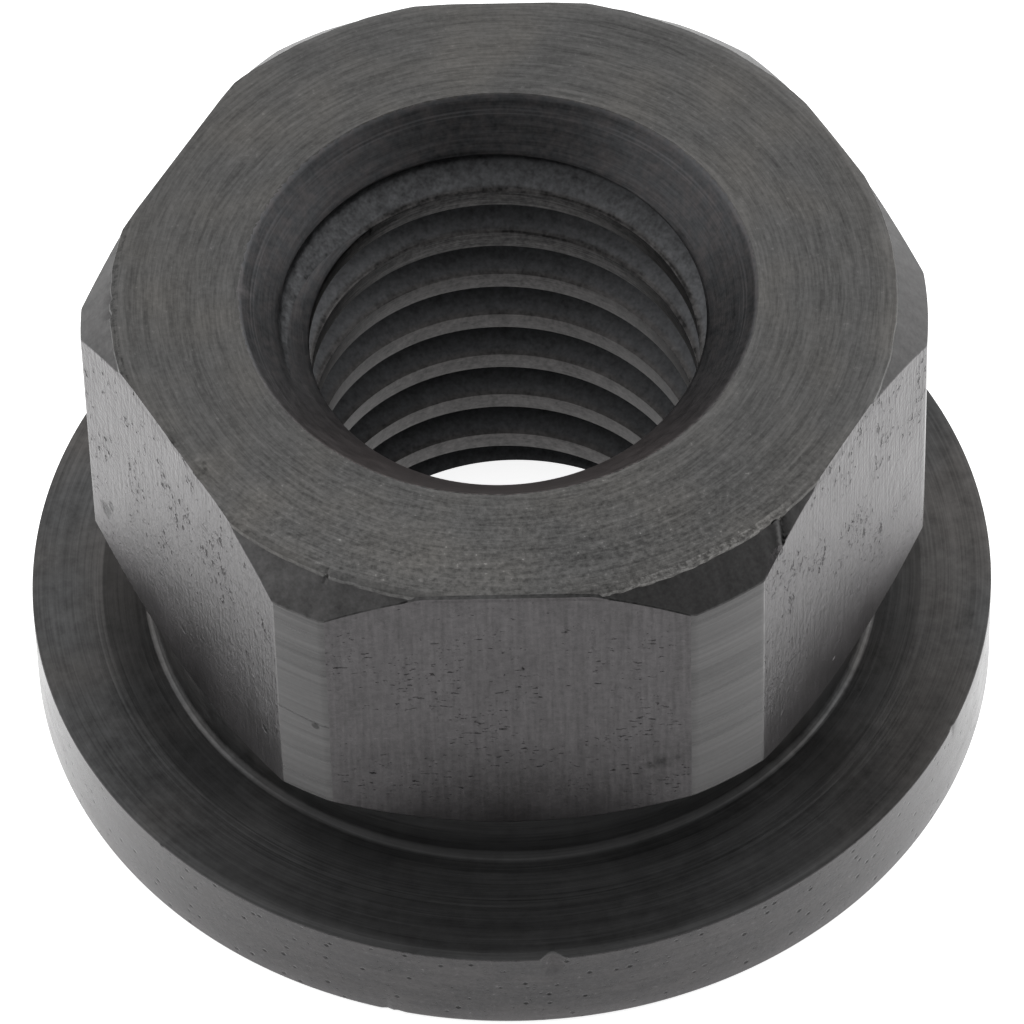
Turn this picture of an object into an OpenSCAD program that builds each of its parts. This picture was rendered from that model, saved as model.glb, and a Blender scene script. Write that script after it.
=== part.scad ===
// Flange nut: a hexagon nut turned in one piece with a round flange.
// Origin at the centre of the bearing face, +Z up along the thread's axis.

/* [Flange] */
// Outside diameter of the flange
flange_d = 34.92; // [33:0.1:38]
// Height of the rim where its top edge is broken
rim_h = 3.9; // [3:0.1:4.5]
// Radial width of the edge break round the rim's top
rim_break = 0.26; // [0.05:0.01:0.5]
// Edge break round the bearing face
foot_break = 0.22; // [0.05:0.01:0.4]
// Height of the flange's top face near the rim
flange_h = 4.0; // [3.95:0.01:4.1]
// Radius where the top face starts to rise towards the neck
ramp_r = 14.9; // [14.4:0.1:16]
// Height of the flange's top face at the neck
flange_neck_h = 4.2; // [4.12:0.01:4.4]

/* [Neck under the hexagon] */
// Diameter of the turned neck between flange and hexagon
neck_d = 26.14; // [24:0.1:26.3]
// Fillet between the neck and the flange
neck_fillet = 0.33; // [0.1:0.01:0.5]
// Height where the sloping underside of the hexagon starts
under_z = 6.4; // [5.8:0.01:6.8]

/* [Hexagon] */
// Width across flats
af = 27.0; // [26.4:0.1:27.6]
// Offset of the milled hexagon from the turned axis
hex_shift = 0.24; // [0:0.01:0.3]
// Diameter of the turned corner lands
land_d = 29.9; // [29:0.1:30.6]
// Height where the lands begin
land_z0 = 8.19; // [7.8:0.01:9.2]
// Height where the lands end and the top chamfer begins
land_z1 = 18.5; // [18:0.01:19]
// Overall height
nut_h = 19.85; // [19.5:0.05:21]
// Diameter of the flat top face
top_d = 27.2; // [26.5:0.01:27.5]
// Diameter of the rolled lip round the top face
lip_d = 27.7; // [27.6:0.01:28.4]
// How far the lip's outer edge lies below the top face
lip_drop = 0.09; // [0.02:0.01:0.15]
// How far below the top face the chamfer starts, under the lip
chamfer_drop = 0.23; // [0.2:0.01:0.4]

/* [Thread and countersinks] */
// Bore at the thread's crests
bore_d = 13.8; // [13.4:0.05:14]
// Countersink diameter in the top face
top_sink_d = 18.26; // [16.5:0.02:19]
// Offset of the top countersink from the bore, towards +X
top_sink_x = -0.18; // [-0.25:0.01:0.25]
// Offset of the top countersink from the bore, towards +Y
top_sink_y = 0.08; // [-0.25:0.01:0.25]
// Countersink diameter in the bearing face
foot_sink_d = 17.0; // [15:0.1:18]

/* [Hidden] */
steel = "#474747";
$fn = 96;
over = 0.5;                       // how far a cutting tool runs past a face
flange_r = flange_d / 2;
neck_r = neck_d / 2;
land_r = land_d / 2;
top_r = top_d / 2;
lip_r = lip_d / 2;
bore_r = bore_d / 2;
top_sink_depth = (top_sink_d - bore_d) / 2;     // both countersinks are 90 degrees
foot_sink_depth = (foot_sink_d - bore_d) / 2;

// Half section of the flange and the neck, up into the hexagon
module lower_section() {
    polygon([
        [0, 0],
        [flange_r - foot_break, 0],
        [flange_r, foot_break],
        [flange_r, rim_h],
        [flange_r - rim_break, flange_h],
        [ramp_r, flange_h],
        [neck_r + neck_fillet, flange_neck_h],
        [neck_r, flange_neck_h],
        [neck_r, under_z],
        [0, under_z]
    ]);
    difference() {
        translate([neck_r - 0.1, flange_neck_h - 0.1])
            square([neck_fillet + 0.1, neck_fillet + 0.1]);
        translate([neck_r + neck_fillet, flange_neck_h + neck_fillet])
            circle(r = neck_fillet);
    }
}

// Half section of the turned head that the flats are milled on
module head_section() {
    polygon([
        [0, under_z - 0.4],
        [neck_r, under_z - 0.4],
        [neck_r, under_z],
        [land_r, land_z0],
        [land_r, land_z1],
        [lip_r + 0.02, nut_h - chamfer_drop],
        [lip_r, nut_h - lip_drop],
        [top_r, nut_h],
        [0, nut_h]
    ]);
}

// The hexagonal prism: one flat faces -Y, and corners point to -X and +X
module hexagon_prism() {
    translate([hex_shift, 0, under_z - 1])
        cylinder(r = af / 2 / cos(30), h = nut_h, $fn = 6);
}

module turned_blank() {
    rotate_extrude() lower_section();
    intersection() {
        rotate_extrude() head_section();
        hexagon_prism();
    }
}

module bore() {
    translate([0, 0, -over]) cylinder(r = bore_r, h = nut_h + 2 * over);
}

module top_countersink() {
    translate([top_sink_x, top_sink_y, nut_h - top_sink_depth - over])
        cylinder(r1 = bore_r - over, r2 = bore_r + top_sink_depth + over,
                 h = top_sink_depth + 2 * over);
}

module foot_countersink() {
    translate([0, 0, -over])
        cylinder(r1 = bore_r + foot_sink_depth + over, r2 = bore_r - over,
                 h = foot_sink_depth + 2 * over);
}

module flange_nut() {
    color(steel)
    difference() {
        turned_blank();
        bore();
        top_countersink();
        foot_countersink();
    }
}

flange_nut();
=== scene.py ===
"""Flange nut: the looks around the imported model. Millimetres in the tables below, metres in the meshes."""

import math

import bpy
import numpy as np
from mathutils import Matrix, Vector


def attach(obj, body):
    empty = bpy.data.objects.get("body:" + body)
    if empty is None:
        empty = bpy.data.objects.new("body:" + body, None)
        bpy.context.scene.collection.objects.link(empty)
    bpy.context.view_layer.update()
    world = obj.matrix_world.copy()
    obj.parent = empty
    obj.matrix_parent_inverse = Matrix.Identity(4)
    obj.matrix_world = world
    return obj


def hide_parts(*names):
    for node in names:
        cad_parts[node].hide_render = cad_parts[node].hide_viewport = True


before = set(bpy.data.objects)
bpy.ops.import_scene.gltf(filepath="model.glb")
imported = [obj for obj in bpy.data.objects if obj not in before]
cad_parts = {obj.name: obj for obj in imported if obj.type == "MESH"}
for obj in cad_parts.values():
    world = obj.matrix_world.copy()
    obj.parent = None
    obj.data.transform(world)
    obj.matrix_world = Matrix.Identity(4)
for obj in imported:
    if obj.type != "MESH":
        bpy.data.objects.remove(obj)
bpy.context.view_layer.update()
MM = 0.001

# ---------------------------------------------------------------- the nut's section
NUT_H = 19.85
TOP_R = 13.60  # the top face ends here and its rolled lip starts
LIP_R, LIP_Z = 13.85, 19.76  # the lip's outer edge
STEP_Z = 19.62  # the chamfer starts under the lip
LAND_R = 14.95
LAND_Z1 = 18.5
LAND_Z0 = 8.19
UNDER_Z = 6.40
NECK_R = 13.07
FILLET = 0.33
NECK_FLOOR = 4.2
FLANGE_H = 4.0
RAMP_R = 14.9
RIM_R = 17.46
RIM_H = 3.9
RIM_BREAK = 0.26
FOOT_BREAK = 0.22
AF2 = 13.5
HEX_SHIFT = 0.24
BORE_R = 6.9
SINK_R = 9.13
SINK_C = (-0.18, 0.08)
FOOT_SINK_R = 8.5

# the thread: right-hand, crest centre at 90 degrees
PITCH = 2.309
CREST_Z90 = 16.78
CREST_HALF = 0.375
ROOT_R = 7.94

JOIN_TOP = 10.3
JOIN_FOOT = 10.0
EDGE = 0.045  # the small break on each edge

(TAG_TOP, TAG_LIP, TAG_CHAMFER, TAG_STRIP, TAG_LAND, TAG_FLAT, TAG_UNDER, TAG_FLANGE, TAG_BREAK, TAG_RIM, TAG_FOOT,
 TAG_SINK, TAG_THREAD) = range(13)

rng = np.random.default_rng(51)


# ---------------------------------------------------------------- outside
def flats():
    """(azimuth, distance from the thread's axis) of each hexagon flat."""
    return [(a, AF2 + HEX_SHIFT * math.cos(math.radians(a))) for a in range(30, 390, 60)]


FLATS = flats()


def hex_r(az):
    """Distance from the axis to the hexagon, and which flat it is."""
    best, which = 1e9, 0
    for k, (a, d) in enumerate(FLATS):
        c = math.cos(math.radians(az - a))
        if c > 0.2 and d / c < best:
            best, which = d / c, k
    return best, which


def outer_azimuths():
    """Closer together at the front, and on each corner of the hexagon."""
    marks = []
    for a, d in FLATS:
        for s in (-1, 1):
            corner = a + s * math.degrees(math.acos(d / LAND_R))
            soft = 0.35 if a == 270 else 0.1
            marks += [corner - soft, corner + soft]
            marks.append(a + s * math.degrees(math.acos(d / LIP_R)))
            if d < TOP_R:
                marks.append(a + s * math.degrees(math.acos(d / TOP_R)))
    marks += [-87.5 + 0.16 * k for k in range(24)]  # the dent in the rim
    marks += [-51.2 + 0.2 * k for k in range(27)]  # the notch in the chamfer
    marks += [-117.0, -116.8, -116.6, -116.4, -116.2, -25.5, -25.2, -24.9, -105.6, -105.4, -105.2]
    marks = sorted(m % 360 for m in marks)
    marks = [m for i, m in enumerate(marks) if i == 0 or m - marks[i - 1] > 0.05]
    base, x = [], 0.0
    while x < 359.6:
        base.append(x)
        x += 0.5 if 222 < x < 318 else 0.95
    base = [x for x in base if min(abs((x - m + 180) % 360 - 180) for m in marks) > 0.22]
    return sorted(base + marks)


def chamfer_z(r):
    return STEP_Z - (r - LIP_R - 0.02) * (STEP_Z - LAND_Z1) / (LAND_R - LIP_R - 0.02)


def upper_z(r):
    """The turned outline over the hexagon: top face, rolled lip, small step, chamfer."""
    if r <= LIP_R + 0.02:
        return float(np.interp(r, [TOP_R, LIP_R, LIP_R + 0.02], [NUT_H, LIP_Z, STEP_Z]))
    return chamfer_z(r)


def flange_top(r):
    """Height of the flange's top face, with its fine turned grooves."""
    z = np.interp(r, [NECK_R, 13.4, RAMP_R, 20], [NECK_FLOOR, NECK_FLOOR, FLANGE_H, FLANGE_H])
    for r0, w, h in GROOVES:
        z = z + h * np.exp(-(((r - r0) / w) ** 2))
    return z


GROOVES = [
    (13.81, 0.055, 0.005),
    (14.70, 0.030, -0.003),
    (14.87, 0.030, -0.003),
    (14.99, 0.028, -0.003),
    (15.21, 0.045, -0.006),
]
JAG = rng.normal(0, 1, 1440)  # unevenness of the rolled lip


def near(az, a, half):
    """1 at azimuth a, falling off over half degrees."""
    d = (az - a + 180) % 360 - 180
    return math.exp(-((d / half) ** 2))


def jag(az):
    """Radial unevenness of the rolled lip: strongest at the front right."""
    out = 0.0
    for step, size in ((0.9, 0.006 + 0.022 * near(az, -60, 14)), (0.3, 0.010)):
        k = (az % 360) * step
        i = int(k)
        t = (k - i) ** 2 * (3 - 2 * (k - i))
        n = round(360 * step)
        out += size * (JAG[i % n] * (1 - t) + JAG[(i + 1) % n] * t)
    return out


def bevel(az):
    """Width of the break between the top and a flat."""
    return 0.03 if 235 < az % 360 < 306.4 else 0.012


def hurt(r, z, az, rs):
    """Moves one point of the outside: the lip's unevenness, and the dents, nicks and chips that the photo shows."""
    if z > 19.5 and 13.3 < r < 13.95:
        w = min(1.0, (r - 13.3) / 0.45)
        cut = 0.04 * near(az, -82, 34) + 0.10 * near(az, -116.6, 0.3) + 0.10 * near(az, 179.4, 0.8) + 0.08 * near(az, -177.5, 0.7) + 0.05 * near(az, -112.9, 0.6)
        calm = 0.25 if rs < LIP_R + 0.1 else 1.0  # less where a flat cuts the lip
        r = min(r + w * (calm * jag(az) - cut), max(r, rs - bevel(az)) if r < rs else r)
        r = min(r, rs - bevel(az)) if r < rs else r
        z -= 0.05 * near(az, -1, 17) * math.exp(-(((r - 13.70) / 0.07) ** 2))  # double lip at the right
    if z > NUT_H - 0.05 and r > 12.5:
        for a, rr, w, h in ((-150.6, 13.25, 0.20, 0.07), (-145.8, 12.95, 0.20, 0.07), (-143.6, 13.05, 0.18, 0.06), (-143.2, 13.5, 0.22, 0.10)):
            d2 = ((az - a + 180) % 360 - 180) * math.pi / 180 * rr
            z -= h * math.exp(-((d2 / w) ** 2) - ((r - rr) / w) ** 2)
    if z > 18.4 and r > 13.86 and r < rs - 0.02 and abs((az + 48 + 180) % 360 - 180) < 6:
        a = -46.6 - 2.6 * (r - 13.86)
        z += -0.19 * near(az, a, 0.50) + 0.08 * near(az, a - 1.35, 0.60)
    if r > 17.0:
        h = min(1.0, max(0.0, (min(z, 3.93) - 3.08) / 0.8))
        d = (az + 85.7 + 180) % 360 - 180
        w = 0.35 + 1.15 * math.sqrt(h)
        if h > 0 and abs(d) < w:
            lim = RIM_R - 0.27 * h * (1 - (abs(d) / w) ** 1.7)
            if r > lim:
                r = lim + 0.04 * (r - lim)
        if z > 3.5:
            r -= 0.05 * near(az, -25.2, 0.4)
        if z < 0.8:
            r -= 0.06 * near(az, -105.4, 0.35) + 0.04 * near(az, -104.1, 0.5)
    return r, z


def flange_radii():
    rs = {13.43, 13.5, 14.1, 14.5, 15.6, 16.0, 16.5, 17.0}
    for r0, w, _ in GROOVES:
        rs |= {r0 + k * w for k in (-2.0, -0.9, 0, 0.9, 2.0)}
    out = []
    for r in sorted(rs):
        if not out or r - out[-1] > 0.008:
            out.append(r)
    return out


FLANGE_RS = flange_radii()
UPPER_RS = [12.9, 13.15, 13.35, 13.48, 13.56, TOP_R + 0.02, 13.72, 13.8, LIP_R - 0.01, LIP_R + 0.005, LIP_R + 0.02, 13.9, 14.02, 14.15, 14.28, 14.42, 14.56, 14.7, 14.82]
SIDE = [0.004, 0.012, 0.03, 0.07, 0.14, 0.22, 0.31, 0.41, 0.52, 0.63, 0.74, 0.85, 0.93, 0.98]


def outer_column(az):
    """The outside section at one azimuth: [(r, z, tag of the strip that starts there)], as many points at each azimuth."""
    rh, _ = hex_r(az)
    side = TAG_FLAT if rh < LAND_R else TAG_LAND
    rs = min(LAND_R, rh)
    z_t = min(NUT_H - 0.2, chamfer_z(rs) - 0.03)
    z_b = LAND_Z0 - (LAND_R - rs) * (LAND_Z0 - UNDER_Z) / (LAND_R - NECK_R)
    col = [(r, NUT_H, TAG_TOP) for r in (JOIN_TOP, 11.0, 11.7, 12.4)]
    roll = bevel(az) + 0.20 * near(az, -50.8, 1.5)  # the chamfer's edge is rolled over at this corner
    for r in UPPER_RS:
        q = min(r, rs - roll)
        col.append((q, upper_z(q), TAG_TOP if r < TOP_R else TAG_LIP if r < LIP_R + 0.02 else TAG_CHAMFER))
    col.append((rs - roll, upper_z(rs - roll), TAG_STRIP))
    col.append((rs, z_t, side))
    for t in SIDE:
        col.append((rs, z_t + (z_b + EDGE - z_t) * t, side))
    col.append((rs, z_b + EDGE, side))
    u = np.array([NECK_R - rs, UNDER_Z - z_b])
    n = np.linalg.norm(u)
    for t in (EDGE / n, 0.3, 0.65, 1.0):
        col.append((rs + u[0] * t, z_b + u[1] * t, TAG_UNDER))
    col += [(NECK_R, UNDER_Z - 0.05, TAG_UNDER), (NECK_R, 5.7, TAG_UNDER), (NECK_R, 5.1, TAG_UNDER), (NECK_R, NECK_FLOOR + FILLET, TAG_FLANGE)]
    for k in range(1, 10):  # the fillet at the foot of the neck
        t = math.pi + math.pi / 2 * k / 10
        col.append((13.40 + FILLET * math.cos(t), NECK_FLOOR + FILLET + FILLET * math.sin(t), TAG_FLANGE))
    col.append((13.40, NECK_FLOOR, TAG_FLANGE))
    col += [(r, float(flange_top(r)), TAG_FLANGE) for r in FLANGE_RS]
    b = RIM_R - RIM_BREAK
    col += [(b - 0.03, FLANGE_H, TAG_BREAK), (b + 0.03, FLANGE_H - 0.012, TAG_BREAK), (b + 0.13, FLANGE_H - 0.05, TAG_BREAK),
            (RIM_R - 0.05, RIM_H + 0.017, TAG_BREAK), (RIM_R - 0.018, RIM_H - 0.004, TAG_RIM), (RIM_R, RIM_H - 0.04, TAG_RIM)]
    col += [(RIM_R, z, TAG_RIM) for z in (3.75, 3.4, 2.9, 2.3, 1.7, 1.1, 0.6, FOOT_BREAK + 0.05)]
    col += [(RIM_R - 0.02, FOOT_BREAK - 0.01, TAG_RIM), (RIM_R - 0.10, 0.09, TAG_RIM), (RIM_R - 0.17, 0.03, TAG_FOOT), (RIM_R - FOOT_BREAK - 0.05, 0.0, TAG_FOOT)]
    col += [(r, 0.0, TAG_FOOT) for r in (16.8, 15.5, 14.0, 12.5, 11.2, JOIN_FOOT)]
    return [hurt(r, z, az, rs) + (t,) for r, z, t in col]


# ---------------------------------------------------------------- bore
def thread_points():
    """One pitch of the thread: (height from the crest's centre, radius), crest to crest."""
    f = CREST_HALF
    t = math.tan(math.radians(30))
    g = f + (ROOT_R - BORE_R) * t
    root = [(f + 0.5 * t, BORE_R + 0.5), (g - 0.22 * t, ROOT_R - 0.22), (g - 0.02, ROOT_R - 0.085), (g + 0.07, ROOT_R - 0.022)]
    over = [(f, BORE_R), (f + 0.2 * t, BORE_R + 0.2)]
    under = [(f - 0.02, BORE_R), (f + 0.02, BORE_R + 0.04)]
    pts = [(0.0, BORE_R)] + over + root + [(PITCH / 2, ROOT_R)] + [(PITCH - z, r) for z, r in reversed(under + root)]
    return np.array(pts)


THREAD = thread_points()


def thread_r(z, az):
    """Radius of the thread at a height and azimuth."""
    base = CREST_Z90 + PITCH * (((az + 90) % 360) - 180) / 360
    return float(np.interp((z - base) % PITCH, [p[0] for p in THREAD], [p[1] for p in THREAD], period=PITCH))


def sink_r(z, az):
    u = (math.cos(math.radians(az)), math.sin(math.radians(az)))
    rho = np.maximum(SINK_R - (NUT_H - z), 0.0)
    along = SINK_C[0] * u[0] + SINK_C[1] * u[1]
    across = SINK_C[0] * u[1] - SINK_C[1] * u[0]
    return np.where(rho > 0.5, along + np.sqrt(np.maximum(rho ** 2 - across ** 2, 0)), 0.0)


def inner_column(az):
    """The bore's section at one azimuth, from the top face down to the foot: [(r, z, tag)]."""
    base = CREST_Z90 + PITCH * (((az + 90) % 360) - 180) / 360
    zs, rs = [], []
    for k in range(-10, 4):
        for z, r in THREAD[:-1]:
            zs.append(base + k * PITCH + z)
            rs.append(r)
    zs, rs = np.array(zs), np.array(rs)
    order = np.argsort(zs)
    zs, rs = zs[order], rs[order]
    keep = (zs > -1.5) & (zs < NUT_H + 1.5)
    zs, rs = zs[keep], rs[keep]
    nodes = list(zs)

    def cone_top(z):
        return sink_r(z, az)

    def cone_foot(z):
        return FOOT_SINK_R - z

    for cone in (cone_top, cone_foot):
        gap = rs - cone(zs)
        for i in range(len(zs) - 1):
            if gap[i] * gap[i + 1] < 0:
                t = gap[i] / (gap[i] - gap[i + 1])
                mid = zs[i] + t * (zs[i + 1] - zs[i])
                nodes += [mid - 0.14, mid - 0.07, mid - 0.025, mid, mid + 0.025, mid + 0.07, mid + 0.14]
    nodes = np.array(sorted(z for z in nodes if 0.12 < z < NUT_H - 0.2))
    t_r = np.interp(nodes, zs, rs)
    c_t, c_f = cone_top(nodes), cone_foot(nodes)
    cone = np.maximum(c_t, c_f)
    blunt = 0.05  # the edge between countersink and thread is blunt
    r = np.maximum(t_r, cone) + blunt * np.exp(-np.abs(t_r - cone) / (2 * blunt)) * 0.7
    tag = np.where(t_r >= cone - 1e-6, TAG_THREAD, TAG_SINK)
    got = list(zip(r, nodes, tag))[::-1]
    # the nodes on a cone alone are thinned out
    thin, last = [], None
    for i, (rr, zz, tt) in enumerate(got):
        alone = tt == TAG_SINK and 0 < i < len(got) - 1 and got[i - 1][2] == TAG_SINK and got[i + 1][2] == TAG_SINK
        if alone and last is not None and last - zz < 0.14:
            continue
        if last is not None and last - zz < 0.004:
            continue
        thin.append((float(rr), float(zz), int(tt)))
        last = zz
    e = sink_r(np.array([NUT_H, NUT_H - 0.035, NUT_H - 0.12]), az)
    e = e + 0.11 * near(az, 177.5, 1.3) + 0.012 * jag(az * 2) / 0.02
    top = [(JOIN_TOP - 0.35, NUT_H, TAG_TOP), (float(e[0]) + 0.10, NUT_H, TAG_TOP), (float(e[0]) + 0.04, NUT_H, TAG_TOP),
           (float(e[1]), NUT_H - 0.035, TAG_SINK), (float(e[2]), NUT_H - 0.12, TAG_SINK)]
    foot = [(FOOT_SINK_R - 0.05, 0.05, TAG_SINK), (FOOT_SINK_R + 0.03, 0.0, TAG_FOOT), (9.0, 0.0, TAG_FOOT)]
    return top + thin + foot


# ---------------------------------------------------------------- mesh
def build():
    """Vertices in millimetres, and faces with the tag of the surface they're on."""
    verts, tags, faces = [], [], {}
    facts = {}

    def add(r, z, az, tag):
        a = math.radians(az)
        verts.append((r * math.cos(a), r * math.sin(a), z))
        tags.append(tag)
        return len(verts) - 1

    outer_az = outer_azimuths()
    outer = [[add(r, z, az, t) for r, z, t in outer_column(az)] for az in outer_az]
    inner_az = list(np.arange(0, 360, 1.5))
    inner = [[add(r, z, az, t) for r, z, t in inner_column(az)] for az in inner_az]
    P = np.array(verts)
    same, new = {}, np.zeros(len(P), int)  # one vertex where points of a section meet
    for i, k in enumerate(map(tuple, np.round(P * 20000).astype(np.int64))):
        new[i] = same.setdefault(k, i)

    def face(tag, *ids, fact=(0.0, 0.0)):
        ids = [int(new[v]) for v in ids]
        ids = [v for i, v in enumerate(ids) if v != ids[i - 1]]
        if len(set(ids)) == len(ids) > 2:
            faces[tuple(ids)] = tag
            facts[tuple(ids)] = fact

    n = len(outer)
    for c in range(n):
        a, b = outer[c], outer[(c + 1) % n]
        mid = (outer_az[c] + (outer_az[(c + 1) % n] + (360 if c == n - 1 else 0))) / 2
        side = TAG_FLAT if hex_r(mid)[0] < LAND_R - 0.004 else TAG_LAND
        width = (outer_az[(c + 1) % n] - outer_az[c]) % 360
        # the level set here is the strength of the painted highlight along the corner's edge, in the narrow columns at
        # 306.5 and 237.2 degrees
        bright_line_level = 0.55 if abs(mid % 360 - 306.5) < 0.12 else 0.05 if abs(mid % 360 - 237.2) < 0.12 else 0.0
        for i in range(len(a) - 1):
            tag = tags[a[i]]
            if tag in (TAG_FLAT, TAG_LAND):
                tag = side
            if tag == TAG_STRIP and side == TAG_FLAT and not 235 < mid % 360 < 306.4:
                tag = TAG_FLAT
            elif tag == TAG_STRIP and side == TAG_LAND:
                tag = TAG_CHAMFER
            torn = 0.0
            if tag == TAG_FLAT:
                torn = (0.8, 0.7, 0.8, 1.0, 0.08, 0.65)[hex_r(mid)[1]]
            face(tag, a[i], a[i + 1], b[i + 1], b[i], fact=(torn, bright_line_level if width < 0.25 and tag in (TAG_FLAT, TAG_LAND) else 0.0))
    m = len(inner)
    for c in range(m):
        a, b = inner[c], inner[(c + 1) % m]
        i = j = 0
        while i < len(a) - 1 or j < len(b) - 1:
            if j == len(b) - 1:
                step = True
            elif i == len(a) - 1:
                step = False
            else:
                step = np.sum((P[a[i + 1]] - P[b[j]]) ** 2) <= np.sum((P[a[i]] - P[b[j + 1]]) ** 2)
            trio = (a[i], b[j], a[i + 1]) if step else (a[i], b[j], b[j + 1])
            t = [tags[v] for v in trio]
            q = P[list(trio)].mean(axis=0)
            q_az = math.degrees(math.atan2(q[1], q[0]))
            cone = max(float(sink_r(q[2], q_az)), FOOT_SINK_R - q[2])
            tag = TAG_THREAD if thread_r(q[2], q_az) > cone else TAG_SINK
            if TAG_FOOT in t:
                tag = TAG_FOOT if t.count(TAG_FOOT) > 1 else TAG_SINK
            if TAG_TOP in t:
                tag = TAG_TOP if t.count(TAG_TOP) > 1 else TAG_SINK
            face(tag, *trio)
            i, j = (i + 1, j) if step else (i, j + 1)

    def ring(tag, one, az1, two, az2, up):
        """Joins two rings of different count. one is the outer ring."""
        i = j = 0
        a1 = list(az1) + [az1[0] + 360]
        a2 = list(az2) + [az2[0] + 360]
        n1, n2 = len(one), len(two)
        while i < n1 or j < n2:
            if j == n2 or (i < n1 and a1[i + 1] <= a2[j + 1]):
                t = (one[i % n1], one[(i + 1) % n1], two[j % n2])
                i += 1
            else:
                t = (one[i % n1], two[(j + 1) % n2], two[j % n2])
                j += 1
            face(tag, *(t if up else t[::-1]))

    ring(TAG_TOP, [c[0] for c in outer], outer_az, [c[0] for c in inner], inner_az, True)
    ring(TAG_FOOT, [c[-1] for c in outer], outer_az, [c[-1] for c in inner], inner_az, False)
    used = sorted({v for f in faces for v in f})
    back = {v: k for k, v in enumerate(used)}
    return P[used], [tuple(back[v] for v in f) for f in faces], list(faces.values()), list(facts.values())


P, FACES, FACE_TAGS, FACE_FACTS = build()
MATERIAL_OF = {TAG_TOP: 0, TAG_LIP: 0, TAG_CHAMFER: 7, TAG_STRIP: 7, TAG_LAND: 1, TAG_FLAT: 2, TAG_UNDER: 3, TAG_FLANGE: 3,
               TAG_BREAK: 3, TAG_RIM: 4, TAG_FOOT: 3, TAG_SINK: 5, TAG_THREAD: 6}

mesh = bpy.data.meshes.new("flange_nut_visual")
mesh.from_pydata([tuple(v) for v in P * MM], [], FACES)
mesh.update()
mesh.polygons.foreach_set("material_index", [MATERIAL_OF[t] for t in FACE_TAGS])
nut = bpy.data.objects.new("flange_nut_body", mesh)
bpy.context.scene.collection.objects.link(nut)


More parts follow.
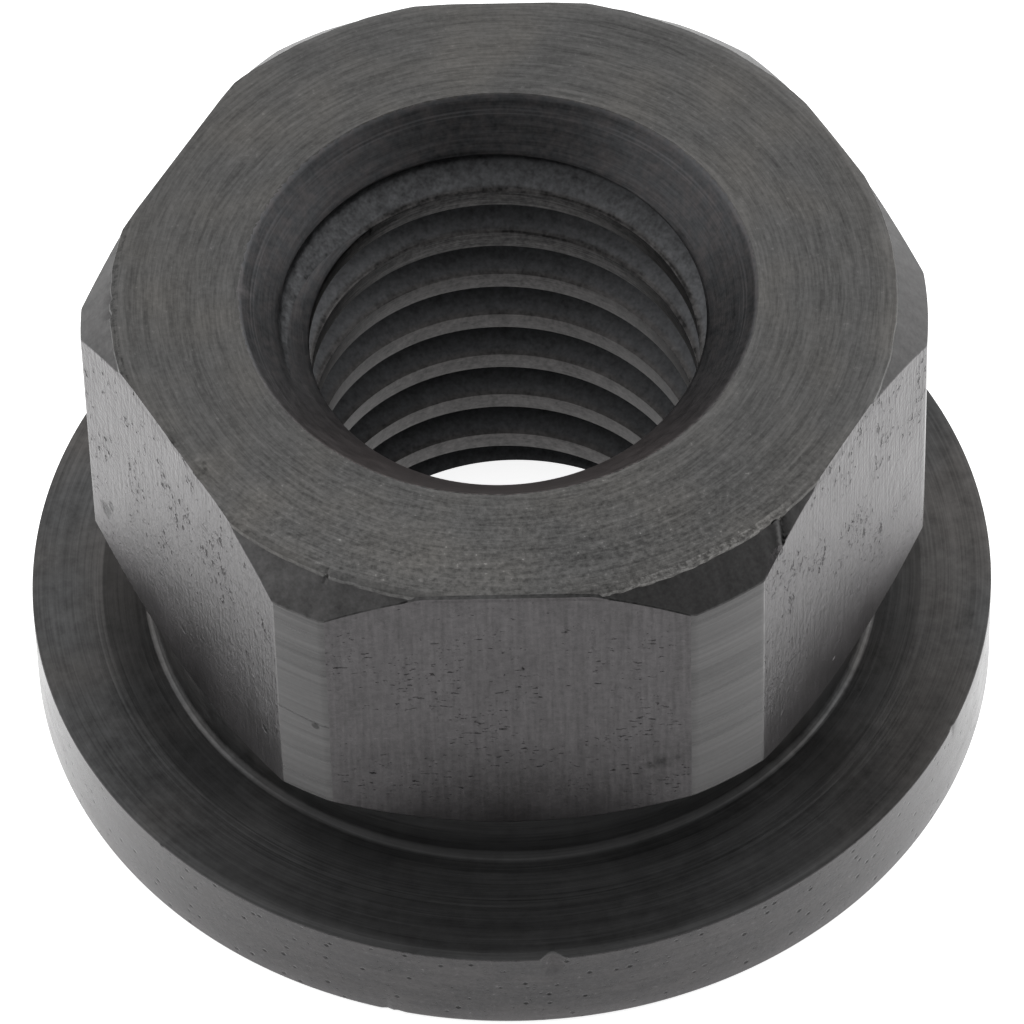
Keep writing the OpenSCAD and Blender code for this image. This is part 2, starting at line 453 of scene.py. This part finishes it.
# ---------------------------------------------------------------- materials
class Tree:
    """Short calls for building a node tree. Lengths inside are millimetres."""

    def __init__(self, name):
        self.mat = bpy.data.materials.new(name)
        self.mat.use_nodes = True
        self.nt = self.mat.node_tree
        self.nt.nodes.clear()
        obj = self.node("ShaderNodeTexCoord").outputs["Object"]
        self.mm = self.node("ShaderNodeVectorMath", {0: obj, 3: 1000.0}, operation="SCALE").outputs[0]
        self.x, self.y, self.z = self.node("ShaderNodeSeparateXYZ", {0: self.mm}).outputs
        self.r = self.node("ShaderNodeVectorMath", {0: self.vec(self.x, self.y, 0.0)}, operation="LENGTH").outputs["Value"]
        self.cos, self.sin = self.math("DIVIDE", self.x, self.r), self.math("DIVIDE", self.y, self.r)

    def node(self, kind, inputs=None, **props):
        n = self.nt.nodes.new(kind)
        for k, v in props.items():
            setattr(n, k, v)
        for k, v in (inputs or {}).items():
            s = n.inputs[k]
            if isinstance(v, bpy.types.NodeSocket):
                self.nt.links.new(v, s)
            else:
                s.default_value = v
        return n

    def math(self, op, a, b=0.0, c=0.0, clamp=False):
        return self.node("ShaderNodeMath", {0: a, 1: b, 2: c}, operation=op, use_clamp=clamp).outputs[0]

    def add(self, *v):
        out = v[0]
        for w in v[1:]:
            out = self.math("ADD", out, w)
        return out

    def mul(self, *v):
        out = v[0]
        for w in v[1:]:
            out = self.math("MULTIPLY", out, w)
        return out

    def vec(self, x, y, z):
        return self.node("ShaderNodeCombineXYZ", {0: x, 1: y, 2: z}).outputs[0]

    def noise(self, vector, scale=1.0, detail=2.0, rough=0.5, distortion=0.0):
        return self.node("ShaderNodeTexNoise", {"Vector": vector, "Scale": scale, "Detail": detail, "Roughness": rough,
                                                "Distortion": distortion}).outputs["Fac"]

    def scaled(self, sx, sy, sz):
        return self.node("ShaderNodeVectorMath", {0: self.mm, 1: (sx, sy, sz)}, operation="MULTIPLY").outputs[0]

    def turned(self, c, around, across, detail=2.0, rough=0.5):
        """Marks that run round the axis; c is the coordinate across them."""
        return self.noise(self.vec(self.mul(self.cos, around), self.mul(self.sin, around), self.mul(c, across)), 1.0, detail, rough)

    def swing(self, n, amount):
        """A noise as a signed part of the colour."""
        return self.math("MULTIPLY_ADD", n, 2.0 * amount, -amount)

    def remap(self, v, a, b, c, d, smooth=False):
        return self.node("ShaderNodeMapRange", {"Value": v, "From Min": a, "From Max": b, "To Min": c, "To Max": d}, clamp=True,
                         interpolation_type="SMOOTHSTEP" if smooth else "LINEAR").outputs[0]

    def band(self, v, centre, half, soft):
        """1 within half of the centre, 0 beyond it."""
        d = self.math("ABSOLUTE", self.math("SUBTRACT", v, centre))
        return self.remap(d, half, half + soft, 1.0, 0.0, True)

    def dots(self, vector, scale, size, share):
        """Small round pits: 1 in their middle."""
        v = self.node("ShaderNodeTexVoronoi", {"Vector": vector, "Scale": scale, "Randomness": 1.0}, feature="F1")
        grey = self.node("ShaderNodeSeparateColor", {0: v.outputs["Color"]}).outputs[0]
        on = self.remap(grey, share - 0.02, share + 0.02, 1.0, 0.0)
        return self.mul(self.remap(v.outputs["Distance"], size * 0.45, size, 1.0, 0.0, True), on)

    def mix(self, fac, a, b):
        return self.node("ShaderNodeMix", {0: fac, 6: a, 7: b}, data_type="RGBA").outputs[2]

    def attr(self, name):
        return self.node("ShaderNodeAttribute", attribute_name=name).outputs["Fac"]

    def bump(self, height, microns, normal=None):
        ins = {"Strength": 1.0, "Distance": microns * 1e-6, "Height": height}
        if normal is not None:
            ins["Normal"] = normal
        return self.node("ShaderNodeBump", ins).outputs[0]

    def finish(self, base, tints, patch, factor, rough, normal, metallic=0.9):
        """Dark oxide over steel: the colour is a tint between two, times the factor."""
        a, b = tints
        colour = self.mix(patch, (base * a[0], base * a[1], base * a[2], 1), (base * b[0], base * b[1], base * b[2], 1))
        colour = self.node("ShaderNodeVectorMath", {0: colour, 3: self.math("MAXIMUM", factor, 0.12)}, operation="SCALE").outputs[0]
        p = self.node("ShaderNodeBsdfPrincipled", {"Base Color": colour, "Roughness": rough, "Metallic": metallic, "Normal": normal})
        self.node("ShaderNodeOutputMaterial", {"Surface": p.outputs[0]})
        return self.mat


NEUTRAL, COOL = (1.02, 1.0, 1.0), (0.98, 1.0, 1.05)


# small marks on the flats: (place, radius, softness, level)
SPOTS = [
    ((-14.41, -1.63, 9.91), 0.16, 0.34, -1.0),
    ((-14.2, -2.0, 10.6), 0.10, 0.20, -0.8),
    ((-9.01, -10.98, 12.26), 0.03, 0.10, 0.7),
    ((-8.67, -11.56, 9.94), 0.08, 0.12, -0.8),
    ((-11.62, -6.45, 9.1), 0.05, 0.16, -0.5),
    ((11.5, -7.5, 8.1), 0.03, 0.10, 0.9),
    ((5.28, -13.5, 10.18), 0.06, 0.50, -0.40),
    ((4.82, -13.5, 9.96), 0.03, 0.22, -0.35),
    ((5.84, -13.5, 10.46), 0.03, 0.22, -0.3),
    ((9.78, -10.48, 10.26), 0.03, 0.14, 0.3),
    ((9.59, -10.8, 9.39), 0.03, 0.14, 0.3),
]
CRACK = (11.905, 0.0956)  # height where it would cross x = 0, and its slope, on the left corner
PIT = (-6.79, -13.32, 12.39)
# chips and a short crack on the top face's left edge: (radius, azimuth, size, level)
CHIPS = [(13.26, -150.75, 0.05, -0.5), (12.92, -145.84, 0.03, 0.6), (12.80, -144.6, 0.03, -0.5), (12.95, -143.49, 0.03, -0.6), (13.10, -143.2, 0.02, -0.5),
         (13.24, -143.3, 0.01, -0.5), (13.38, -142.9, 0.02, -0.5), (13.50, -143.34, 0.03, -0.6), (13.08, -102.95, 0.02, 0.8)]


def top_face():
    t = Tree("steel_top_face")
    fine = t.turned(t.r, 9.0, 10.0, 2.0, 0.72)
    arcs = t.turned(t.r, 2.6, 4.2, 1.0, 0.6)
    patch = t.noise(t.mm, 0.30, 1.0, 0.6)
    grain = t.noise(t.mm, 5.0, 2.0, 0.78)
    lip = t.attr("lip")
    front = t.remap(t.y, -5.0, -12.0, 0.0, 1.0, True)
    # painted glints: bright specks from the grain, more of them toward the front
    painted_glints = t.mul(t.remap(grain, 0.69, 0.77, 0.0, 1.3), t.add(0.35, t.mul(front, 0.65)))
    # the jagged burr of the lip at the front right: in the colour a painted highlight, in the bump a real roughening
    burr_and_highlight = t.mul(lip, t.remap(t.cos, 0.15, 0.40, 0.0, 1.0, True), t.remap(t.sin, -0.62, -0.80, 0.0, 1.0, True))
    edge = t.math("MAXIMUM", t.remap(t.r, 13.2, 13.6, 0.0, 1.0, True), t.remap(t.r, 9.1, 9.35, 1.0, 0.0, True))
    # the x times front term paints the front of the top face lighter at the left and darker at the right: painted light
    # and shade
    f = t.add(0.97, t.swing(fine, 0.53), t.swing(arcs, 0.40), t.mul(t.swing(grain, 1.0), t.add(0.36, t.mul(front, 0.55))), t.swing(patch, 0.17),
              painted_glints, t.mul(edge, 0.16), t.mul(lip, 0.05), t.mul(t.x, front, -0.016), t.mul(burr_and_highlight, t.remap(grain, 0.4, 0.6, 0.2, 1.0)))
    ro = t.add(0.37, t.swing(arcs, 0.10), t.swing(patch, -0.065), t.mul(lip, -0.03))
    chips = t.add(*[t.mul(spot(t, (r * math.cos(math.radians(a)), r * math.sin(math.radians(a)), NUT_H), size, 0.11), level) for r, a, size, level in CHIPS])
    leftlip = t.mul(lip, t.remap(t.cos, -0.60, -0.75, 0.0, 1.0))
    f = t.add(f, chips, t.mul(leftlip, t.remap(grain, 0.40, 0.52, -0.4, -0.1)))
    n = t.bump(t.add(t.mul(fine, 0.86), t.mul(grain, t.add(0.8, t.mul(burr_and_highlight, 4.0)))), 6.0)
    return t.finish(0.056, ((1.01, 1.0, 0.99), (1.045, 1.0, 0.94)), t.remap(patch, 0.40, 0.69, 0.1, 0.8), f, ro, n)


def chamfer():
    t = Tree("steel_chamfer")
    mottle = t.noise(t.mm, 1.7, 3.0, 0.75)
    grain = t.noise(t.mm, 7.0, 1.0, 0.7)
    down = t.noise(t.vec(t.mul(t.cos, 34.0), t.mul(t.sin, 34.0), t.mul(t.r, 0.8)), 1.0, 1.0, 0.65)
    # painted light: the chamfer is painted lighter on its left side and on its right side; left also strengthens the
    # mottle there
    left = t.remap(t.cos, -0.35, 0.25, 1.0, 0.0, True)
    right = t.remap(t.cos, 0.72, 0.95, 0.0, 0.4, True)
    # the shade attribute paints the strip under the lip dark: painted shadow under the lip
    f = t.add(0.94, t.mul(left, t.swing(mottle, 0.75)), t.swing(grain, 0.34), t.swing(down, 0.28), t.mul(left, 0.40), right, t.mul(t.attr("shade"), -0.62))
    ro = t.add(0.40, t.swing(mottle, 0.08))
    n = t.bump(t.add(mottle, t.mul(down, 0.4)), 6.0)
    return t.finish(0.058, (NEUTRAL, NEUTRAL), left, f, ro, n)


def edge_highlight(t):
    """A painted highlight along the corner's edge, brighter in its upper part."""
    high = t.remap(t.z, 9.0, 16.0, 0.25, 1.0, True)
    return t.mul(t.attr("edge"), high, t.remap(t.noise(t.mm, 1.4, 0.0, 0.6), 0.35, 0.6, 0.6, 2.0))


def spot(t, at, size, soft):
    """1 near one point of the surface."""
    d = t.node("ShaderNodeVectorMath", {0: t.mm, 1: at}, operation="DISTANCE").outputs["Value"]
    return t.remap(d, size, size + soft, 1.0, 0.0, True)


def lands():
    t = Tree("steel_lands")
    lines = t.turned(t.z, 1.6, 6.0, 2.0, 0.7)
    broad = t.turned(t.z, 1.0, 1.6, 1.0, 0.5)
    grain = t.noise(t.mm, 8.0, 1.0, 0.5)
    # a thin slanting crack across the left corner, with a pit at its end
    line = t.add(t.z, t.mul(t.x, CRACK[1]), -CRACK[0])
    crack = t.mul(t.remap(t.math("ABSOLUTE", t.add(line, t.swing(grain, 0.05))), 0.02, 0.055, 1.0, 0.0), t.remap(t.x, -5.0, -4.5, 1.0, 0.0))
    pit = spot(t, PIT, 0.10, 0.10)
    f = t.add(0.98, t.swing(lines, 0.42), t.swing(broad, 0.34), t.swing(grain, 0.12), edge_highlight(t), t.mul(crack, -0.35), t.mul(pit, -0.7))
    n = t.bump(t.add(lines, t.mul(crack, -1.5), t.mul(pit, -3.0)), 4.0)
    return t.finish(0.062, (NEUTRAL, NEUTRAL), 0.0, f, t.add(0.29, t.swing(broad, 0.08)), n)


def side_flats():
    t = Tree("steel_flats")
    torn = t.attr("torn")
    front = t.remap(t.math("ABSOLUTE", t.cos), 0.5, 0.62, 1.0, 0.0)
    streak = t.noise(t.scaled(6.5, 6.5, 0.4), 1.0, 1.0, 0.65)
    haze = t.noise(t.scaled(0.5, 0.5, 0.4), 1.0, 1.0, 0.6)
    grain = t.noise(t.mm, 5.0, 2.0, 0.8)
    tears = t.noise(t.scaled(3.2, 3.2, 9.5), 1.0, 2.0, 0.6)
    where = t.mul(t.remap(haze, 0.38, 0.60, 0.0, 0.10), t.remap(t.z, 7.0, 9.5, 0.35, 1.0), t.remap(t.z, 17.0, 19.5, 1.0, 0.3))
    tear = t.remap(t.math("SUBTRACT", tears, t.math("SUBTRACT", 0.735, where)), 0.0, 0.06, 0.0, 1.0)
    cracks = t.noise(t.scaled(3.6, 3.6, 1.9), 1.0, 2.0, 0.72)
    high = t.mul(t.remap(t.z, 9.5, 13.0, 0.0, 1.0, True), t.remap(haze, 0.36, 0.58, 0.0175, 0.175))
    crack = t.mul(torn, t.remap(t.math("SUBTRACT", cracks, t.math("SUBTRACT", 0.763, high)), 0.0, 0.07, 0.0, 1.0))
    # painted highlight on the ridges between the tears, on the front flats
    ridge_highlight = t.mul(t.remap(tears, 0.32, 0.24, 0.0, 0.4), front)
    # painted shade: the front flats darker in a band low down, around 9.8 mm
    low_painted_shading = t.mul(t.band(t.z, 9.8, 0.7, 1.6), front, -0.14)
    # painted light: the side flats lighter toward their foot
    foot = t.mul(t.remap(t.z, 8.5, 11.0, 1.0, 0.0, True), t.math("SUBTRACT", 1.0, front), 0.34)
    spots = t.add(*[t.mul(spot(t, at, size, soft), level) for at, size, soft, level in SPOTS])
    f = t.add(0.97, t.swing(streak, 0.30), t.swing(haze, 0.16), t.swing(grain, 0.42), t.mul(tear, -0.62), t.mul(crack, -0.6), ridge_highlight, edge_highlight(t), low_painted_shading,
              foot, spots)
    ro = t.add(0.325, t.swing(haze, 0.06), t.mul(tear, 0.15), t.mul(crack, 0.2))
    rugged = t.mul(torn, t.remap(t.z, 8.0, 12.0, 0.55, 1.0))
    n = t.bump(t.add(t.mul(streak, t.add(0.8, t.mul(rugged, t.remap(t.z, 10.0, 13.0, 0.2, 1.6)))), t.mul(tear, -3.0), t.mul(grain, t.add(0.6, t.mul(rugged, 1.5))),
                     t.mul(cracks, rugged, 3.4), t.mul(crack, -8.0), t.mul(spots, 3.0)), 9.0)
    return t.finish(0.060, ((1.06, 1.0, 1.02), (1.05, 1.0, 1.03)), haze, f, ro, n)


def flange():
    t = Tree("steel_flange")
    c = t.math("SUBTRACT", t.r, t.z)
    fine = t.turned(c, 2.5, 10.5, 1.0, 0.8)
    arcs = t.turned(c, 1.3, 3.0, 1.0, 0.5)
    mottle = t.noise(t.mm, 1.4, 3.0, 0.75)
    patch = t.noise(t.mm, 0.2, 1.0, 0.6)
    side = t.remap(t.sin, -0.86, -0.62, 0.0, 1.0, True)
    face = t.remap(t.z, 4.6, 4.5, 0.0, 1.0)
    inner = t.mul(face, t.remap(t.r, 14.86, 14.92, 1.0, 0.0), t.remap(t.r, 13.36, 13.44, 0.0, 1.0))
    outer = t.remap(t.r, 14.88, 14.94, 0.0, 1.0)
    # painted light and shade by place on the flange's top: the inner ring darker at the sides, the outer part lighter
    # at the front, lighter at the far left and darker toward the outside at the right
    painted_shading_zones = t.add(t.mul(inner, t.remap(side, 0.0, 1.0, 0.10, -0.42)),
                 t.mul(outer, t.math("SUBTRACT", 1.0, side), t.remap(t.r, 14.9, 16.6, 0.36, 0.12)),
                 t.mul(outer, side, t.add(t.mul(t.remap(t.cos, -0.99, -0.9, 0.5, 1.0), t.remap(t.cos, -0.6, -0.5, 1.0, 0.0), 0.20),
                                          t.mul(t.remap(t.cos, 0.6, 0.9, 0.0, 1.0), t.remap(t.cos, 0.9, 0.98, 1.0, 0.0), t.remap(t.r, 15.0, 16.6, 0.0, -0.24)))))
    # painted highlight on the fillet at the foot of the neck, stronger at the sides
    fillet = t.mul(t.band(t.r, 13.31, 0.055, 0.05), t.remap(t.z, 4.62, 4.5, 0.0, 1.0))
    cone = t.mul(t.remap(t.z, 4.7, 5.2, 0.0, 1.0), t.math("SUBTRACT", 1.0, t.band(t.math("ABSOLUTE", t.cos), 0.47, 0.05, 0.08)))
    # the cone term paints the neck above 5 mm lighter at the sides, and the sin band paints the flange's top darker at
    # the front right: painted light and painted shade
    level = t.add(0.90, painted_shading_zones, t.mul(fillet, t.remap(side, 0.0, 1.0, 0.45, 0.85)), t.mul(cone, side, 0.30), t.mul(t.band(t.sin, -0.71, 0.08, 0.14), t.remap(t.cos, -0.1, 0.1, 0.3, 1.0), face, -0.17))
    f = t.mul(level, t.add(1.02, t.swing(fine, 0.42), t.swing(arcs, 0.24), t.mul(t.swing(mottle, 1.0), t.add(0.34, t.mul(side, 0.40))), t.swing(patch, 0.2)))
    ro = t.add(0.52, t.swing(mottle, 0.08), t.swing(arcs, 0.06))
    n = t.bump(t.add(t.mul(fine, 1.0), t.mul(mottle, 1.0)), 6.0)
    warm = t.mul(t.remap(patch, 0.4, 0.62, 0.0, 1.0), side)
    return t.finish(0.058, ((1.0, 1.0, 1.01), (1.05, 1.0, 0.97)), warm, f, ro, n)


def rim():
    t = Tree("steel_rim")
    pits = t.dots(t.scaled(1.0, 1.0, 1.2), 1.75, 0.22, 0.70)
    haze = t.noise(t.scaled(0.6, 0.6, 1.2), 1.0, 2.0, 0.6)
    lines = t.turned(t.z, 3.0, 6.0, 1.0, 0.6)
    grain = t.noise(t.mm, 5.0, 2.0, 0.8)
    small = t.remap(grain, 0.34, 0.26, 0.0, 1.0)
    # painted glints: bright specks from the grain
    spark = t.remap(grain, 0.68, 0.78, 0.0, 0.8)
    # painted light: the rim lighter toward its foot
    low_painted_shading = t.add(t.remap(t.z, 1.5, 0.5, 0.0, 0.22, True), t.remap(t.z, 0.9, 0.2, 0.0, 0.35, True))
    f = t.add(1.0, low_painted_shading, t.mul(pits, -0.72), t.mul(small, -0.40), t.swing(haze, 0.22), t.swing(lines, 0.16), t.swing(grain, 0.34), spark)
    flank = t.remap(t.sin, -0.85, -0.6, 1.0, 0.35)
    n = t.bump(t.mul(t.add(t.mul(pits, -1.0), t.mul(small, -0.4), t.mul(grain, 0.35)), flank), 24.0)
    return t.finish(0.057, ((1.03, 1.0, 1.02), (1.045, 1.0, 1.01)), t.remap(haze, 0.35, 0.65, 0.0, 1.0), f, t.add(0.27, t.swing(haze, 0.08)), n)


def countersink():
    t = Tree("steel_countersink")
    ax = t.math("SUBTRACT", t.x, SINK_C[0])
    ay = t.math("SUBTRACT", t.y, SINK_C[1])
    rc = t.node("ShaderNodeVectorMath", {0: t.vec(ax, ay, 0.0)}, operation="LENGTH").outputs["Value"]
    fine = t.noise(t.vec(t.mul(t.cos, 2.6), t.mul(t.sin, 2.6), t.mul(rc, 10.0)), 1.0, 2.0, 0.75)
    mottle = t.noise(t.mm, 1.8, 2.0, 0.75)
    grain = t.noise(t.mm, 6.0, 1.0, 0.7)
    lines = t.add(t.band(rc, 8.73, 0.012, 0.025), t.band(rc, 8.63, 0.008, 0.02))
    bright_line_level = t.remap(t.turned(rc, 1.2, 0.4, 1.0, 0.5), 0.42, 0.6, 0.15, 1.0)
    # painted light round the countersink: lightest at the front, darker at the far back and at the left and right
    painted_light_around = t.add(t.remap(t.math("ABSOLUTE", t.sin), 0.1, 0.42, 0.0, 0.36), t.remap(t.sin, 0.82, 0.98, 0.0, -0.38), t.remap(t.sin, -0.6, -0.85, 0.0, 0.40))
    # the last term is a painted highlight along the countersink's top edge
    f = t.add(0.93, painted_light_around, t.swing(fine, 0.62), t.swing(mottle, 0.51), t.swing(grain, 0.34), t.mul(lines, bright_line_level, 0.5),
              t.remap(rc, 8.95, 9.1, 0.0, 0.5, True))
    n = t.bump(t.add(t.mul(fine, 0.8), t.mul(mottle, 0.85)), 8.0)
    warm = t.remap(t.sin, -0.2, -0.8, 0.0, 1.0)
    tint = t.math("MAXIMUM", t.mul(t.remap(mottle, 0.38, 0.62, 0.0, 1.0), 0.5), warm)
    return t.finish(0.047, (COOL, (1.13, 1.0, 0.99)), tint, f, t.add(0.45, t.swing(mottle, 0.06)), n)


def thread():
    t = Tree("steel_thread")
    turn = t.math("DIVIDE", t.math("ARCTAN2", t.mul(t.x, -1.0), t.y), 2 * math.pi)
    c = t.math("MULTIPLY_ADD", turn, -PITCH, t.z)
    crest = t.remap(t.r, BORE_R + 0.04, BORE_R + 0.26, 1.0, 0.0, True)
    scratch = t.turned(c, 3.0, 14.0, 1.0, 0.75)
    mottle = t.noise(t.mm, 2.2, 2.0, 0.78)
    grain = t.noise(t.mm, 6.0, 1.0, 0.7)
    upper = t.remap(t.z, 11.5, 14.5, 0.0, 1.0, True)
    amount = t.mul(crest, t.add(0.35, t.mul(upper, 0.75)))
    # painted shade on the thread's first turns under the countersink, deeper at the left and right
    first_turn_shade = t.add(t.mul(t.remap(t.z, 16.6, 17.3, 0.0, 1.0), t.remap(t.math("ABSOLUTE", t.cos), 0.4, 0.9, 0.0, 0.30)), t.remap(t.z, 16.9, 17.6, 0.0, 0.26))
    # the crest term paints the crests darker higher up the bore: painted shade
    f = t.add(1.05, t.mul(t.swing(scratch, 0.80), amount), t.swing(mottle, 0.80), t.swing(grain, 0.5), t.mul(crest, t.remap(t.z, 12.0, 14.0, -0.12, -0.50)), t.mul(first_turn_shade, -1.0),
              t.mul(t.math("SUBTRACT", 1.0, crest), 0.18))
    ro = t.add(0.48, t.swing(mottle, 0.06), t.mul(crest, -0.08))
    n = t.bump(t.add(t.mul(mottle, 1.25), t.mul(scratch, amount, 0.76)), 8.0)
    return t.finish(0.062, (COOL, (1.05, 1.0, 0.99)), crest, f, ro, n, 0.8)


for make in (top_face, lands, side_flats, flange, rim, countersink, thread, chamfer):
    mesh.materials.append(make())

shade = mesh.attributes.new("shade", "FLOAT", "FACE")
shade.data.foreach_set("value", [{TAG_STRIP: 1.0}.get(t, 0.0) for t in FACE_TAGS])
lip = mesh.attributes.new("lip", "FLOAT", "FACE")
lip.data.foreach_set("value", [{TAG_LIP: 1.0}.get(t, 0.0) for t in FACE_TAGS])
torn = mesh.attributes.new("torn", "FLOAT", "FACE")
torn.data.foreach_set("value", [f[0] for f in FACE_FACTS])
# the edge attribute carries the level of the painted edge highlight
edge = mesh.attributes.new("edge", "FLOAT", "FACE")
edge.data.foreach_set("value", [f[1] for f in FACE_FACTS])
mesh.polygons.foreach_set("use_smooth", [True] * len(mesh.polygons))
mesh.set_sharp_from_angle(angle=math.radians(14))


def soften_bore():
    """In the bore an edge is sharp only past 34 degrees."""
    seen = {}
    sharp = mesh.attributes["sharp_edge"].data
    normals = [p.normal.copy() for p in mesh.polygons]
    index = {tuple(sorted(e.vertices)): k for k, e in enumerate(mesh.edges)}
    for p in mesh.polygons:
        if FACE_TAGS[p.index] in (TAG_SINK, TAG_THREAD):
            for key in p.edge_keys:
                seen.setdefault(tuple(sorted(key)), []).append(p.index)
    for key, who in seen.items():
        if len(who) == 2 and normals[who[0]].angle(normals[who[1]], 0.0) < math.radians(34):
            sharp[index[key]].value = False


if "sharp_edge" in mesh.attributes:
    soften_bore()
mesh.update()

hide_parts("flange_nut")
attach(nut, "root")

# ---------------------------------------------------------------- floor, light, camera
FLOOR_GLOW = 0.92
SKY = (-0.728, -0.132, 0.654, 2.197, 0.28, 0.657, 0.074, 0.775, -1.642)
floor_mesh = bpy.data.meshes.new("floor")
N = 96
ring = [(3.0 * math.cos(2 * math.pi * k / N), 3.0 * math.sin(2 * math.pi * k / N), 0.0) for k in range(N)]
floor_mesh.from_pydata(ring, [], [tuple(range(N))])
floor = bpy.data.objects.new("floor", floor_mesh)
floor.location = (0, 0, -0.00002)
bpy.context.scene.collection.objects.link(floor)
fm = bpy.data.materials.new("floor_pale")
fm.use_nodes = True
fp = fm.node_tree.nodes["Principled BSDF"]
fp.inputs["Base Color"].default_value = (0.8, 0.8, 0.8, 1)
fp.inputs["Roughness"].default_value = 1.0
fp.inputs["Specular IOR Level"].default_value = 0.0
fp.inputs["Emission Color"].default_value = (1, 1, 1, 1)
ft = fm.node_tree


def floor_glow():
    """The floor shines a little more at the sides than in front and behind."""

    def op(kind, a, b=0.0):
        n = ft.nodes.new("ShaderNodeMath")
        n.operation = kind
        for k, v in enumerate((a, b)):
            if isinstance(v, bpy.types.NodeSocket):
                ft.links.new(v, n.inputs[k])
            else:
                n.inputs[k].default_value = v
        return n.outputs[0]

    xyz = ft.nodes.new("ShaderNodeSeparateXYZ")
    ft.links.new(ft.nodes.new("ShaderNodeTexCoord").outputs["Object"], xyz.inputs[0])
    xx, yy = op("MULTIPLY", xyz.outputs[0], xyz.outputs[0]), op("MULTIPLY", xyz.outputs[1], xyz.outputs[1])
    q = op("DIVIDE", op("SUBTRACT", xx, yy), op("ADD", op("ADD", xx, yy), 0.0004))
    ft.links.new(op("MULTIPLY", op("EXPONENT", op("MULTIPLY", q, 0.3)), FLOOR_GLOW), fp.inputs["Emission Strength"])


floor_glow()
floor_mesh.materials.append(fm)


def studio():
    """A soft white surround: its level is the exponential of a quadratic form of the direction, brightest behind and above."""
    w = bpy.data.worlds.new("studio")
    w.use_nodes = True
    nt = w.node_tree
    back = nt.nodes["Background"]
    co = nt.nodes.new("ShaderNodeTexCoord").outputs["Generated"]
    unit = nt.nodes.new("ShaderNodeVectorMath")
    unit.operation = "NORMALIZE"
    nt.links.new(co, unit.inputs[0])
    xyz = nt.nodes.new("ShaderNodeSeparateXYZ")
    nt.links.new(unit.outputs[0], xyz.inputs[0])
    x, y, z = xyz.outputs

    def op(kind, a, b=0.0, c=0.0):
        n = nt.nodes.new("ShaderNodeMath")
        n.operation = kind
        for k, v in enumerate((a, b, c)):
            if isinstance(v, bpy.types.NodeSocket):
                nt.links.new(v, n.inputs[k])
            else:
                n.inputs[k].default_value = v
        return n.outputs[0]

    z = op("MAXIMUM", z, 0.0)
    m = op("MULTIPLY", x, x)
    terms = (x, y, z, op("SUBTRACT", m, op("MULTIPLY", y, y)), op("MULTIPLY", x, y), op("MULTIPLY", x, z), op("MULTIPLY", y, z), op("MULTIPLY", z, z))
    level = op("ADD", SKY[0], 0.0)
    for k, q in zip(SKY[1:], terms):
        level = op("MULTIPLY_ADD", q, k, level)
    nt.links.new(op("EXPONENT", level), back.inputs["Strength"])
    back.inputs["Color"].default_value = (1, 1, 1, 1)
    return w


bpy.context.scene.world = world = studio()

EL, ROLL, DIST, FOCAL = 51.738, -1.651, 326.096 * 1.12661, 9910.0
TURN = 0.81  # the camera's side step round the nut, in degrees
TARGET = Vector((0.073 * 1.12661, 5.068 * 1.12661, 0.13)) * MM


def camera():
    el, roll = math.radians(EL), math.radians(ROLL)
    spin = Matrix.Rotation(math.radians(TURN), 3, "Z")
    d = spin @ Vector((0, -math.cos(el), math.sin(el)))
    right = spin @ Vector((1, 0, 0))
    up = right.cross(-d)
    rr = math.cos(roll) * right + math.sin(roll) * up
    uu = -math.sin(roll) * right + math.cos(roll) * up
    pos = spin @ TARGET + d * (DIST * MM)
    data = bpy.data.cameras.new("camera")
    data.sensor_width = 36.0
    data.lens = FOCAL / 1024 * 36.0
    data.clip_start, data.clip_end = 0.01, 20.0
    cam = bpy.data.objects.new("camera", data)
    cam.matrix_world = Matrix(((rr.x, uu.x, d.x, pos.x), (rr.y, uu.y, d.y, pos.y), (rr.z, uu.z, d.z, pos.z), (0, 0, 0, 1)))
    bpy.context.scene.collection.objects.link(cam)
    bpy.context.scene.camera = cam
    return cam


cam = camera()
bpy.context.scene.view_settings.view_transform = "Standard"
bpy.context.scene.view_settings.look = "None"
